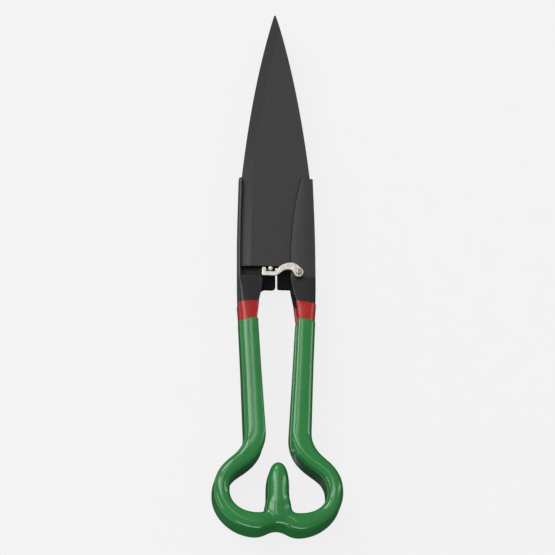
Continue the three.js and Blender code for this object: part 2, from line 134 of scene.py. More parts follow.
def headings(line):
    """Unit vectors along a line of (x, y) points."""
    heading = np.gradient(line, axis=0)
    return heading / np.linalg.norm(heading, axis=1, keepdims=True)


def half_turned(points):
    """The left half's place of a right-half point: turned half round the long axis."""
    turned = np.array(points, float)
    turned[..., 0] *= -1
    turned[..., 2] = 2 * MID_Z - turned[..., 2]
    return turned


def smooth(value, low, high):
    """Eased step from 0 at low to 1 at high."""
    t = np.clip((value - low) / (high - low), 0, 1)
    return t * t * (3 - 2 * t)


# ---------------------------------------------------------------- mesh helpers

def shade_smooth(mesh):
    """All faces shade smoothly; sharpen then marks the crisp edges."""
    mesh.polygons.foreach_set("use_smooth", [True] * len(mesh.polygons))


def link_object(name, data):
    """A new object in the scene from a mesh, a camera or a light."""
    obj = bpy.data.objects.new(name, data)
    bpy.context.scene.collection.objects.link(obj)
    return obj


def new_object(name, points, faces, material, normals=None):
    """A mesh object from millimetre points, smooth shaded, with its material."""
    mesh = bpy.data.meshes.new(name)
    mesh.from_pydata((np.asarray(points) * MM).tolist(), [], [list(f) for f in faces])
    mesh.validate()
    shade_smooth(mesh)
    if normals is not None:
        mesh.normals_split_custom_set_from_vertices(normals.tolist())
    obj = link_object(name, mesh)
    mesh.materials.append(material)
    return obj


def mesh_object(bm, name):
    """An object from a bmesh that is done with, its faces turned outward."""
    bmesh.ops.recalc_face_normals(bm, faces=bm.faces)
    mesh = bpy.data.meshes.new(name)
    bm.to_mesh(mesh)
    bm.free()
    return link_object(name, mesh)


def sharpen(obj, degrees):
    """Faces face out, and edges sharper than the angle stay crisp."""
    bm = bmesh.new()
    bm.from_mesh(obj.data)
    bmesh.ops.remove_doubles(bm, verts=bm.verts, dist=MM * 0.001)
    bmesh.ops.recalc_face_normals(bm, faces=bm.faces)
    for edge in bm.edges:
        edge.smooth = edge.calc_face_angle(math.pi) < math.radians(degrees)
    bm.to_mesh(obj.data)
    bm.free()
    return obj


def apply_modifiers(obj):
    """Replaces the object's mesh by its modified one."""
    bpy.context.view_layer.update()
    evaluated = obj.evaluated_get(bpy.context.evaluated_depsgraph_get())
    mesh = bpy.data.meshes.new_from_object(evaluated)
    obj.modifiers.clear()
    obj.data = mesh


def boolean(target, tool, operation):
    """Joins the tool to the target or cuts it away, and removes the tool."""
    modifier = target.modifiers.new("boolean", "BOOLEAN")
    modifier.object = tool
    modifier.operation = operation
    modifier.solver = "EXACT"
    apply_modifiers(target)
    bpy.data.objects.remove(tool)


def round_edges(obj, width, segments, degrees):
    """Rounds the edges that are sharper than the angle."""
    modifier = obj.modifiers.new("round", "BEVEL")
    modifier.width = width
    modifier.segments = segments
    modifier.limit_method = "ANGLE"
    modifier.angle_limit = math.radians(degrees)
    apply_modifiers(obj)


def prism(name, outline, low_z, high_z, parts=None):
    """An upright solid on an outline; parts share its ends out between several faces."""
    bm = bmesh.new()
    bottom = [bm.verts.new((x, y, low_z)) for x, y in outline]
    top = [bm.verts.new((x, y, high_z)) for x, y in outline]
    count = len(outline)
    for part in parts or [range(count)]:
        bm.faces.new([bottom[i] for i in reversed(part)])
        bm.faces.new([top[i] for i in part])
    for i in range(count):
        j = (i + 1) % count
        bm.faces.new((bottom[i], bottom[j], top[j], top[i]))
    return mesh_object(bm, name)


def loft_faces(rows, ring):
    """Quads between rings of points, and one face over each end."""
    faces = []
    for row in range(rows - 1):
        for i in range(ring):
            a = row * ring + i
            b = row * ring + (i + 1) % ring
            faces.append((a, b, b + ring, a + ring))
    faces.append(tuple(range(ring)))
    faces.append(tuple(reversed(range((rows - 1) * ring, rows * ring))))
    return faces


LATHE_SIDES = 48


def lathe(name, profile, centre, material):
    """Round piece about a vertical axis from (radius, z) pairs that start and end on the axis."""
    rings = profile[1:-1]
    points = [(centre[0], centre[1], profile[0][1]), (centre[0], centre[1], profile[-1][1])]
    for radius, z in rings:
        for i in range(LATHE_SIDES):
            angle = 2 * math.pi * i / LATHE_SIDES
            points.append((centre[0] + radius * math.cos(angle), centre[1] + radius * math.sin(angle), z))
    faces = []
    for row in range(len(rings) - 1):
        for i in range(LATHE_SIDES):
            a = 2 + row * LATHE_SIDES + i
            b = 2 + row * LATHE_SIDES + (i + 1) % LATHE_SIDES
            faces.append((a, b, b + LATHE_SIDES, a + LATHE_SIDES))
    last = 2 + (len(rings) - 1) * LATHE_SIDES
    for i in range(LATHE_SIDES):
        j = (i + 1) % LATHE_SIDES
        faces.append((0, 2 + j, 2 + i))
        faces.append((1, last + i, last + j))
    return sharpen(new_object(name, points, faces, material), degrees=35)


def finish_piece(obj, body, slot, *nodes):
    """The piece moves with a body and takes the place of CAD nodes, which it hides; slot is not used."""
    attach(obj, body)
    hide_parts(*nodes)


# ---------------------------------------------------------------- materials

class Nodes:
    """A small helper round a material's node tree."""

    def __init__(self, name):
        self.material = bpy.data.materials.new(name)
        self.material.use_nodes = True
        self.tree = self.material.node_tree
        self.shader = self.tree.nodes["Principled BSDF"]

    def add(self, kind, **settings):
        """A node with its inputs and options set by name."""
        node = self.tree.nodes.new(kind)
        for key, value in settings.items():
            if key in node.inputs:
                node.inputs[key].default_value = value
            else:
                setattr(node, key, value)
        return node

    def link(self, source, target):
        self.tree.links.new(source, target)

    def feed(self, source, name):
        """Drives one of the shader's inputs."""
        self.link(source, self.shader.inputs[name])

    def place(self, stretch=(1, 1, 1)):
        """Object coordinates in metres, stretched along each axis."""
        coordinates = self.add("ShaderNodeTexCoord")
        mapping = self.add("ShaderNodeMapping")
        mapping.inputs["Scale"].default_value = stretch
        self.link(coordinates.outputs["Object"], mapping.inputs["Vector"])
        return mapping.outputs["Vector"]

    def along(self, axis):
        """The object coordinate on one axis, in metres."""
        parts = self.add("ShaderNodeSeparateXYZ")
        self.link(self.place(), parts.inputs[0])
        return parts.outputs[axis]

    def noise(self, vector, scale, detail=3.0, roughness=0.5):
        """Soft noise between 0 and 1."""
        node = self.add("ShaderNodeTexNoise", Scale=scale, Detail=detail, Roughness=roughness)
        self.link(vector, node.inputs["Vector"])
        return node.outputs["Fac"]

    def ramp(self, factor, stops):
        """Colour ramp with (position, colour) stops."""
        node = self.add("ShaderNodeValToRGB")
        elements = node.color_ramp.elements
        while len(elements) < len(stops):
            elements.new(0.5)
        for element, (position, colour) in zip(elements, stops):
            element.position = position
            element.color = (*colour, 1)
        self.link(factor, node.inputs["Fac"])
        return node.outputs["Color"]

    def span(self, value, start, end, at_start, at_end):
        """Straight step from one value at the start to another at the end, held beyond them."""
        node = self.add("ShaderNodeMapRange")
        limits = {"From Min": start, "From Max": end, "To Min": at_start, "To Max": at_end}
        for name, limit in limits.items():
            node.inputs[name].default_value = limit
        self.link(value, node.inputs["Value"])
        return node.outputs["Result"]

    def math(self, operation, *values):
        """One calculation on linked values."""
        node = self.add("ShaderNodeMath", operation=operation)
        for value, target in zip(values, node.inputs):
            self.link(value, target)
        return node.outputs[0]

    def mix(self, factor, first, second):
        """The first colour where the factor is 0, and the second where it is 1."""
        node = self.add("ShaderNodeMix", data_type="RGBA")
        for name, source in (("Factor", factor), ("A", first), ("B", second)):
            self.link(source, node.inputs[name])
        return node.outputs["Result"]

    def bump(self, height, strength, distance, normal=None):
        """Fine relief, over another relief where one is given."""
        node = self.add("ShaderNodeBump", Strength=strength, Distance=distance)
        self.link(height, node.inputs["Height"])
        if normal is not None:
            self.link(normal, node.inputs["Normal"])
        return node.outputs["Normal"]

    def set(self, **values):
        """Plain values on the shader's inputs; a name's spaces are written as underscores."""
        for key, value in values.items():
            self.shader.inputs[key.replace("_", " ")].default_value = value

    def steel_finish(self, stretch, smoothest, roughest):
        """Drawn grain in the gloss and the relief, and a fine tooth over it."""
        drawn = self.noise(self.place(stretch), scale=160)
        self.feed(self.span(drawn, 0.25, 0.75, smoothest, roughest), "Roughness")
        waves = self.bump(drawn, strength=0.08, distance=0.0001)
        tooth = self.noise(self.place(), scale=2600, detail=2)
        self.feed(self.bump(tooth, strength=0.12, distance=0.00003, normal=waves), "Normal")

    def mottled(self, dark, light):
        """Fine mottling between two colours."""
        fine = self.noise(self.place(), scale=420, detail=4, roughness=0.6)
        return self.ramp(fine, [(0.25, dark), (0.75, light)])


def dip_material(name, deep, bright, roughness, coat):
    """Glossy dipped vinyl or enamel: faint drift of colour, slow waves and fine orange peel."""
    m = Nodes(name)
    place = m.place()
    drift = m.noise(place, scale=28, detail=2)
    m.feed(m.ramp(drift, [(0.3, deep), (0.7, bright)]), "Base Color")
    smear = m.noise(m.place((1, 0.35, 1)), scale=90)
    m.feed(m.span(smear, 0.3, 0.7, roughness * 0.75, roughness * 1.3), "Roughness")
    waves = m.bump(m.noise(place, scale=120, detail=2), strength=0.12, distance=0.0004)
    peel = m.noise(place, scale=900, detail=2)
    m.feed(m.bump(peel, strength=0.05, distance=0.0001, normal=waves), "Normal")
    m.set(IOR=1.5, Coat_Weight=coat, Coat_Roughness=0.08)
    return m.material


def coated_steel():
    """Thin black coating on the folded sheet, with painted shade on the ramps below the crease, so the
    flange above it is paler.
    """
    m = Nodes("black_steel")
    # Painted shade: the ramps below the crease take a darker copy of the coating than the flange above
    # it.
    above_crease = m.span(m.along("Y"), (CREASE - 0.5) * MM, (CREASE + 0.5) * MM, 0, 1)
    ramp_shade = m.mottled((0.016, 0.016, 0.017), (0.025, 0.025, 0.026))
    flange = m.mottled((0.032, 0.031, 0.032), (0.043, 0.042, 0.043))
    m.feed(m.mix(above_crease, ramp_shade, flange), "Base Color")
    m.steel_finish((1, 0.08, 1), 0.27, 0.42)
    m.set(Metallic=0.35, Specular_IOR_Level=0.5)
    return m.material


def blade_coating():
    """Dull dark coating on the blade's flat face, with the drawn grain of the sheet."""
    m = Nodes("coated_blade")
    m.feed(m.mottled((0.029, 0.028, 0.030), (0.041, 0.039, 0.041)), "Base Color")
    m.steel_finish((1, 0.05, 1), 0.42, 0.6)
    m.set(Metallic=0.3)
    return m.material


def heel_painted_shade():
    """Black steel below the heel line with painted shade: near-black on the recessed lugs and at the
    line, a painted shadow of the blade's step and the latch, paler beside the crease.
    """
    m = Nodes("heel_painted_shade")
    beside = m.math("ABSOLUTE", m.along("X"))
    outside = m.span(beside, (LUG_REACH - 0.5) * MM, (LUG_REACH + 0.5) * MM, 0, 1)
    below = m.span(m.along("Y"), (HEEL_Y - 1.2) * MM, (HEEL_Y - 3.2) * MM, 0, 1)
    paler = m.math("MULTIPLY", outside, below)
    # Painted shade and shadow: near-black where the shade falls, lifting to dark grey away from the lugs
    # and the heel line.
    m.feed(m.ramp(paler, [(0.0, (0.002, 0.002, 0.003)), (1.0, (0.024, 0.024, 0.025))]), "Base Color")
    scale = m.noise(m.place(), scale=700, detail=4, roughness=0.6)
    m.feed(m.span(scale, 0.3, 0.7, 0.5, 0.75), "Roughness")
    m.feed(m.bump(scale, strength=0.2, distance=0.00005), "Normal")
    m.set(Specular_IOR_Level=0.12)
    return m.material


def ground_bevel():
    """The blade's ground bevel: paler toward the heel, with grinding marks that cross the edge."""
    m = Nodes("ground_bevel")
    height = m.span(m.along("Y"), BLADE_LOW[1] * MM, BLADE_HIGH[1] * MM, 0, 1)
    shades = [
        (0.0, (0.062, 0.062, 0.068)),
        (0.3, (0.042, 0.042, 0.047)),
        (0.55, (0.026, 0.026, 0.029)),
        (1.0, (0.024, 0.024, 0.027)),
    ]
    m.feed(m.ramp(height, shades), "Base Color")
    marks = m.noise(m.place((0.05, 1, 1)), scale=2400)
    m.feed(m.span(marks, 0.2, 0.8, 0.34, 0.55), "Roughness")
    m.feed(m.bump(marks, strength=0.3, distance=0.00004), "Normal")
    m.set(Metallic=0.2, Specular_IOR_Level=0.2)
    return m.material


def plated(name, tint, roughness):
    """Warm nickel plate with a slightly grainy, cast-looking surface."""
    m = Nodes(name)
    place = m.place()
    grain = m.noise(place, scale=1500, detail=4, roughness=0.65)
    dark = tuple(c * 0.8 for c in tint)
    m.feed(m.ramp(grain, [(0.3, dark), (0.65, tint)]), "Base Color")
    smear = m.noise(place, scale=500, detail=2)
    m.feed(m.span(smear, 0.3, 0.7, roughness * 0.8, roughness * 1.4), "Roughness")
    m.feed(m.bump(grain, strength=0.35, distance=0.00006), "Normal")
    m.set(Metallic=0.6)
    return m.material


GREEN = dip_material("green_dip", (0.013, 0.175, 0.034), (0.019, 0.215, 0.045), roughness=0.15, coat=0.15)
RED = dip_material("red_dip", (0.36, 0.003, 0.003), (0.43, 0.005, 0.005), roughness=0.22, coat=0.1)
BLACK = coated_steel()
BLADE = blade_coating()
HEEL_SHADE = heel_painted_shade()
BEVEL = ground_bevel()
NICKEL = plated("nickel", (0.88, 0.84, 0.74), roughness=0.3)
# The rivet takes a darker copy of the nickel: a painted dark reflection on its domed head.
RIVET_SHADED = plated("rivet_shaded_plate", (0.40, 0.37, 0.30), roughness=0.25)


# ---------------------------------------------------------------- the dipped coat

# Rows along the grip: y, width, depth, coat thickness, steel wall, channel share (0 bar, 1 channel)
GRIP_ROWS = np.array([
    [-136, 9.2, 24, 3.2, 2.6, 0],
    [-120, 9.6, 24, 3.0, 2.6, 0],
    [-110, 12.0, 23.4, 2.2, 2.2, 0.55],
    [-101, 12.2, 22.5, 1.5, 2.0, 1],
    [-60, 11.1, 20.5, 1.2, 1.8, 1],
    [-30, 10.9, 18.8, 0.8, 1.6, 1],
])
EASE = 5.0

# Centre line of the right half, from the hairpin's leg round the lobe to the head of the grip
LEG = (3.1, -145.2)
LEG_WIDTH = 6.2
LOBE = (12.4, -154.5)
LOBE_WIDTH = 11.0
FLEX = (GRIP_HIGH[0] - GRIP_ROWS[0, 1] / 2, GRIP_ROWS[0, 0])
LOOP_TOP = (24.5, -119.2)
TOP_PULLS = [(FLEX[0], -127.5), (30.1, -123.4)]
GRIP_FOOT = (13.5, -101.0)
SHOULDER_PULLS = [(19.3, -115.3), (13.8, -110)]
GRIP_HEAD = (17.15, HEAD_Y)
PAST_HEAD = 4

# The blunt tongue over the hairpin
SPIKE_HALF = 6.3
SPIKE_SHOULDER = -134.0
SPIKE_FOOT = -156.2
SPIKE_BLUNT = 2.4
SPIKE_REACH = 7.0

# Rounding of the coat's edges, and how far its broad faces are crowned
LOOP_ROUND = 4.4
SPIKE_ROUND = 5.6
SPIKE_TO_LOOP = (4, 9)
INNER_ROUND = 1.9
OUTER_ROUND = 3.0
LOOP_CROWN = 0.25
GRIP_CROWN = 0.8
CROWN_SHIFT = {"right": 0.0, "left": 3.0}
CROWN_LIMITS = (-1.3, 1.5)
FILLET = 5.0
DIP_LIP = 0.5

# The open side of the coated channel
HOLLOW_ROUND = 2.0
HOLLOW_LIP = 2.0
HOLLOW_START = 3
HOLLOW_FOOT = -118
HOLLOW_MIN_X = 5
NO_HOLLOW = 5.0

# The grid that the distances are worked out on
VOXEL = 0.5
GRID_MARGIN = 2
GRID_PAST_HEAD = 3
FIELD_REACH = 3.0
SOFTEN_PASSES = 12


def grip_rows(y):
    """The table's columns at heights y, with the corners of its straight lines eased."""
    offsets = np.linspace(-EASE, EASE, 11)
    heights = GRIP_ROWS[:, 0]
    return [
        np.mean([np.interp(y + step, heights, column) for step in offsets], axis=0)
        for column in GRIP_ROWS[:, 1:].T
    ]


def bar_line():
    """Centre line of the coated bar, right half, from the hairpin leg past the grip's head."""
    inner = [(LOBE[0] + (LOBE[0] - LEG[0]) * math.cos(a), LEG[1] + (LEG[1] - LOBE[1]) * math.sin(a))
             for a in np.linspace(math.pi, 1.5 * math.pi, 16)]
    outer = [(LOBE[0] + (FLEX[0] - LOBE[0]) * math.cos(a), FLEX[1] + (FLEX[1] - LOBE[1]) * math.sin(a))
             for a in np.linspace(1.5 * math.pi, 2 * math.pi, 40)]
    top = bezier([FLEX, *TOP_PULLS, LOOP_TOP], 24)
    shoulder = bezier([LOOP_TOP, *SHOULDER_PULLS, GRIP_FOOT], 28)
    grip = np.linspace(GRIP_FOOT, (GRIP_HEAD[0], HEAD_Y + PAST_HEAD), 30)
    return np.vstack([inner, outer[1:], top[1:], shoulder[1:], grip[1:]])


def bar_half(line):
    """Half the coated thickness at each point of the line."""
    to_lobe = smooth(line[:, 0], LEG[0], LOBE[0])
    to_flex = smooth(line[:, 0], LOBE[0], FLEX[0])
    below = LEG_WIDTH + (LOBE_WIDTH - LEG_WIDTH) * to_lobe
    below = below + (GRIP_ROWS[0, 1] - LOBE_WIDTH) * to_flex
    above = grip_rows(line[:, 1])[0]
    return np.where(line[:, 1] > FLEX[1], above, below) / 2


def stroke(x, y, line, half):
    """Signed distance to a line drawn with a changing half width, and the signed side of the line."""
    best = np.full(x.shape, 1e3)
    side = np.zeros(x.shape)
    for (ax, ay), (bx, by), ha, hb in zip(line[:-1], line[1:], half[:-1], half[1:]):
        dx, dy = bx - ax, by - ay
        t = np.clip(((x - ax) * dx + (y - ay) * dy) / (dx * dx + dy * dy), 0, 1)
        px, py = x - ax - t * dx, y - ay - t * dy
        reach = np.hypot(px, py) - (ha + t * (hb - ha))
        closer = reach < best
        best = np.where(closer, reach, best)
        side = np.where(closer, (px * dy - py * dx) / math.hypot(dx, dy), side)
    return best, side


def spike_plan(x, y):
    """Signed distance to the blunt tongue over the hairpin."""
    rise = BOW_HIGH[1] - SPIKE_SHOULDER
    turns = np.linspace(0, math.pi / 2, 24)
    nose_x = SPIKE_HALF * np.cos(turns) ** (2 / SPIKE_BLUNT)
    nose_y = SPIKE_SHOULDER + rise * np.sin(turns) ** (2 / SPIKE_BLUNT)
    right = np.vstack([[(SPIKE_HALF, SPIKE_FOOT)], np.stack([nose_x, nose_y], axis=1)])
    outline = np.vstack([right, right[::-1] * (-1, 1), right[:1]])
    away, _ = stroke(x, y, outline, np.zeros(len(outline)))
    height = np.clip((y - SPIKE_SHOULDER) / rise, 0, 1)
    reach = SPIKE_HALF * (1 - height ** SPIKE_BLUNT) ** (1 / SPIKE_BLUNT)
    inside = (np.abs(x) < reach) & (y > SPIKE_FOOT)
    return np.where(inside, -away, away)


def soft_min(a, b, width):
    """The lower of two fields, with the crease between them filled."""
    blend = np.maximum(width - np.abs(a - b), 0) / width
    return np.minimum(a, b) - blend * blend * width / 4


def cut_away(solid, keep, lip):
    """A solid's field with everything outside another field removed, and the new edge softened."""
    return -soft_min(-solid, keep, lip)


def round_max(a, b, radius):
    """Where two solids' fields meet, with the outer corner rounded."""
    a, b = a + radius, b + radius
    return np.minimum(np.maximum(a, b), 0) + np.hypot(np.maximum(a, 0), np.maximum(b, 0)) - radius


def by_half(x, setting):
    """A setting's value for the right half where x is positive, and for the left half elsewhere."""
    return np.where(x > 0, setting["right"], setting["left"])


def top_shape(x, plan, side, width, share):
    """Corner radius, and how far the broad face falls away from its highest line."""
    lean = smooth(side, -width / 2, width / 2)
    grip_round = INNER_ROUND + (OUTER_ROUND - INNER_ROUND) * lean
    loop_round = SPIKE_ROUND + (LOOP_ROUND - SPIKE_ROUND) * smooth(np.abs(x), *SPIKE_TO_LOOP)
    rounding = loop_round + (grip_round - loop_round) * share
    loop_fall = LOOP_CROWN * np.clip(1 + plan / (width / 2), 0, 1) ** 2
    across = (side + by_half(x, CROWN_SHIFT)) / (width / 2)
    grip_fall = GRIP_CROWN * np.clip(across, *CROWN_LIMITS) ** 2
    return rounding, loop_fall + (grip_fall - loop_fall) * share


def plan_fields(x, y):
    """Signed distance to the coat's plan, and the signed side of the bar's centre line."""
    line = bar_line()
    right, side = stroke(x, y, line, bar_half(line))
    plan = soft_min(soft_min(right, right[::-1], FILLET), spike_plan(x, y), FILLET)
    for _ in range(SOFTEN_PASSES):
        plan[1:-1] = (plan[:-2] + 2 * plan[1:-1] + plan[2:]) / 4
        plan[:, 1:-1] = (plan[:, :-2] + 2 * plan[:, 1:-1] + plan[:, 2:]) / 4
    return plan, np.where(x > 0, side, side[::-1])


def coat_field():
    """Signed distance of the whole coat on a grid, with the grid's first corner."""
    reach = np.ceil(BOW_HIGH[0]) + GRID_MARGIN
    rise = HALF_DEPTH + GRID_MARGIN
    xs = np.arange(-reach, reach + VOXEL / 2, VOXEL)
    ys = np.arange(BOW_LOW[1] - GRID_MARGIN, HEAD_Y + GRID_PAST_HEAD, VOXEL)
    zs = np.arange(-rise, rise + VOXEL / 2, VOXEL)
    x, y = np.meshgrid(xs, ys, indexing="ij")
    z = np.abs(zs)[None, None, :]
    plan, side = plan_fields(x, y)
    width, depth, coat, wall, share = [column.reshape(1, -1) for column in grip_rows(ys)]
    half = np.broadcast_to(np.where(ys < FLEX[1], HALF_DEPTH, depth / 2), x.shape)
    rounding, crown = top_shape(x, plan, side, width, share)
    solid = round_max(plan[..., None], z - (half - crown)[..., None], rounding[..., None])
    sheet = wall + 2 * coat
    hollow_side = -width / 2 - HOLLOW_START + (width + HOLLOW_START - sheet) * share
    hollow = round_max((side - hollow_side)[..., None], z - (half - sheet)[..., None], HOLLOW_ROUND)
    on_grip = (np.abs(x) > HOLLOW_MIN_X)[..., None] & (y > HOLLOW_FOOT)[..., None]
    solid = cut_away(solid, np.where(on_grip, hollow, NO_HOLLOW), HOLLOW_LIP)
    dip_line = HEAD_Y - by_half(x, DIP_SLOPE) * side
    solid = cut_away(solid, (dip_line - y)[..., None], DIP_LIP)
    return solid, np.array([xs[0], ys[0], MID_Z + zs[0]])


def sample(field, index):
    """Straight-line value of a grid at fractional indices."""
    low = np.clip(np.floor(index).astype(int), 0, np.array(field.shape) - 2)
    part = index - low
    total = np.zeros(len(index))
    for corner in np.ndindex(2, 2, 2):
        at = low + corner
        weight = np.prod(np.where(corner, part, 1 - part), axis=1)
        total += weight * field[at[:, 0], at[:, 1], at[:, 2]]
    return total


def coat_mesh():
    """Points, quads that face outward, and outward normals of the coat's surface."""
    field, origin = coat_field()
    grid = openvdb.FloatGrid(background=FIELD_REACH)
    grid.copyFromArray(np.clip(field, -FIELD_REACH, FIELD_REACH).astype(np.float32))
    index, quads = grid.convertToQuads(isovalue=0.0)
    slopes = np.gradient(field)
    normals = np.stack([sample(slope, index) for slope in slopes], axis=1)
    normals /= np.linalg.norm(normals, axis=1, keepdims=True)
    points = index * VOXEL + origin
    corners = points[quads]
    facing = np.cross(corners[:, 1] - corners[:, 0], corners[:, 2] - corners[:, 0])
    inward = np.einsum("ij,ij->i", facing, normals[quads[:, 0]]) < 0
    quads[inward] = quads[inward][:, ::-1]
    return points, quads, normals


def coat_piece(name, points, quads, normals, keep):
    """An object from the kept quads, with only the points that they use."""
    kept = quads[keep]
    used, flat = np.unique(kept, return_inverse=True)
    return new_object(name, points[used], flat.reshape(kept.shape).tolist(), GREEN, normals[used])


def make_coats():
    """The coat in three pieces: the middle rides on the bow, and the two sides stay where they are built.
    """
    points, quads, normals = coat_mesh()
    centre = points[quads].mean(axis=1)
    reach = np.abs(centre[:, 0])
    lobes = (reach < LOBE[0]) & (centre[:, 1] < LEG[1])
    spike = (reach < SPIKE_REACH) & (centre[:, 1] < BOW_HIGH[1] + 1)
    middle = lobes | spike
    coat = coat_piece("coat_middle", points, quads, normals, middle)
    finish_piece(coat, "bow", "green_dip", "bow_coat", "spring_bow")
    for side, sign in (("right", 1), ("left", -1)):
        keep = ~middle & (centre[:, 0] * sign > 0)
        coat = coat_piece(f"coat_{side}", points, quads, normals, keep)
        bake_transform(coat)
        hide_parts(f"{side}_grip_coat")


# ---------------------------------------------------------------- steel shanks and red bands

# Rows along the bare shank: y, outer x, front edge x, back edge x, half depth, wall, bend radius
LIP = 1.9
SHANK_ROWS = np.array([
    [-30, 21.85, 12.45, 12.45, 8.6, 1.6, 3.4],
    [-19.5, 22.55, 11.2, 11.2, 8.75, 1.5, 3.0],
    [-10, 22.9, 8.9, 8.9, 6.6, 1.3, 2.4],
    [CREASE, 23.1, 8.0, 8.0, 3.6, 1.15, 1.3],
    [-2.4, 23.1, 8.0, 23.1 - LIP, 3.6, 1.15, 1.3],
    [16, 23.0, 8.3, 23.0 - LIP, 3.6, 1.15, 1.3],
    [30, 22.7, 9.4, 22.7 - LIP, 3.6, 1.15, 1.3],
    [44, 22.25, 11.5, 22.25 - LIP, 3.6, 1.1, 1.3],
    [58, 21.75, 14.6, 21.75 - LIP, 3.6, 1.1, 1.3],
])
BACK_COLUMN = 3
BEND_STEPS = 8
MIN_BEND = 0.25
RING_STEP = 1.2
CREASE_STEP = 0.4
CREASE_REACH = 3
SHANK_EASE = 1.6
BAND_EASE = 1.5
BAND_RINGS = 14
BAND_GROW = 0.3
BAND_INNER_GROW = 0.1
BAND_MIDDLE = 5.5
BAND_IN_COAT = 1.0
IN_COAT = 8
# How far a face must lean inward to take the painted shadow line on the flange's front edge
SHADOW_LINE_LEAN = 0.35


def channel_ring(outer, front, back, half, wall, bend, grow=0.0):
    """Section of the folded sheet as a closed ring of (x, z) points."""
    out, top, thick = outer + grow, half + grow, wall + 2 * grow
    bend = bend + grow
    inner = max(bend - thick, MIN_BEND)
    nose = thick / 2
    front, back = front - grow, back - grow
    return (
        arc((front + nose, top - nose), nose, 3, 1, BEND_STEPS)
        + arc((out - bend, top - bend), bend, 1, 0, BEND_STEPS)
        + arc((out - bend, bend - top), bend, 0, -1, BEND_STEPS)
        + arc((back + nose, nose - top), nose, -1, -3, BEND_STEPS)
        + arc((out - thick - inner, thick - top + inner), inner, -1, 0, BEND_STEPS)
        + arc((out - thick - inner, top - thick - inner), inner, 0, 1, BEND_STEPS)
    )


def shank_heights(low, high):
    """Heights for the rings, closer together at the crease where the back flange ends."""
    close = CREASE + CREASE_STEP * np.arange(-3, 4)
    heights = np.unique(np.concatenate([np.arange(low, high, RING_STEP), close, [high]]))
    return [y for y in heights if low <= y <= high]


def shank_values(y, ease):
    """Table columns at height y, eased except at the crease."""
    near = min(ease, 0.25 + 0.5 * abs(y - CREASE))
    steps = np.linspace(-near, near, 9)
    heights = SHANK_ROWS[:, 0]
    values = [np.mean(np.interp(y + steps, heights, column)) for column in SHANK_ROWS[:, 1:].T]
    if abs(y - CREASE) < CREASE_REACH:
        values[BACK_COLUMN - 1] = np.interp(y, heights, SHANK_ROWS[:, BACK_COLUMN])
    return values


def make_band(side):
    """The red dipped band: a thin sleeve on the channel, its lines sloping as the coat's does."""
    middle = SHANK_ROWS[1, 1] - BAND_MIDDLE

    def sleeve(grow):
        rings = []
        for y in np.linspace(HEAD_Y - BAND_IN_COAT, BAND_HIGH[1], BAND_RINGS):
            ring = channel_ring(*shank_values(y, BAND_EASE), grow)
            rings.append([(x, y - DIP_SLOPE[side] * (x - middle), MID_Z + z) for x, z in ring])
        return rings

    outside = sleeve(BAND_GROW)
    rings = outside + sleeve(BAND_INNER_GROW)[::-1] + outside[:1]
    points = [point for ring in rings for point in ring]
    if side == "left":
        points = half_turned(points)
    faces = loft_faces(len(rings), len(outside[0]))[:-2]
    band = sharpen(new_object(f"red_{side}", points, faces, RED), degrees=50)
    finish_piece(band, f"{side}_arm", "red_dip", f"{side}_red_band")


def make_shank(side):
    """The folded channel, from inside the coat to the flange's point; its front edge takes the near-black
    heel material as a painted shadow line.
    """
    heights = shank_heights(SHANK_ROWS[0, 0] - IN_COAT, SHANK_HIGH[1])
    rings = [channel_ring(*shank_values(y, SHANK_EASE)) for y in heights]
    points = [(x, y, MID_Z + z) for y, ring in zip(heights, rings) for x, z in ring]
    if side == "left":
        points = half_turned(points)
    faces = loft_faces(len(rings), len(rings[0]))
    shank = sharpen(new_object(f"shank_{side}", points, faces, BLACK), degrees=40)
    shank.data.materials.append(HEEL_SHADE)
    inward = 1 if side == "left" else -1
    for polygon in shank.data.polygons:
        # Painted shadow: the flange's inward-facing front edge above the crease gets the near-black heel
        # material.
        shadow_line_face = polygon.normal.x * inward > SHADOW_LINE_LEAN and polygon.center.y > CREASE * MM
        polygon.material_index = 1 if shadow_line_face else 0
    finish_piece(shank, f"{side}_arm", "black_steel", f"{side}_shank")


# ---------------------------------------------------------------- blades

SHOULDER = (20.2, 57.0)
EDGE_SWELL = (13.7, 115.5)
EDGE_STEPS = 90
TIP_HALF = 0.5
TIP_DROP = 0.25
PLATE = 2.0
BEVEL_WIDTH = 5.9
BEVEL_SINK = 1.35
BEVEL_LEAN = (0.08, 0.6)
BEVEL_RISE = 0.7
CUTTER_SIDE = 3.0
CUTTER_END = 6
LUG_GAP = 0.6
LUG_END = 13.0
LUG_Y = -9.9
LUG_TOP = HEEL_Y - 1
LUG_SETBACK = 2.0
LUG_OVERLAP = 1.0
LUG_ROUND = 1.2
LUG_CORNER = 1.6
LUG_CORNER_CUT = 0.5
WEB = [
    (20.6, -4), (14, -13.4), (9.9, -13.4), (9.6, -12.4), (9.2, -11.5),
    (8.4, -10.6), (7.4, -10.05), (6.4, LUG_Y),
]


def spine_line():
    """Right-hand edge of the blade from the tip to the heel."""
    tip = np.array([TIP_HALF, BLADE_HIGH[1] - TIP_DROP])
    t = np.linspace(0, 1, EDGE_STEPS)[:, None]
    curve = (1 - t) ** 2 * tip + 2 * t * (1 - t) * np.array(EDGE_SWELL) + t ** 2 * np.array(SHOULDER)
    straight = np.linspace(SHOULDER, (BLADE_HIGH[0], HEEL_Y), 30)
    return np.vstack([curve, straight[1:]])


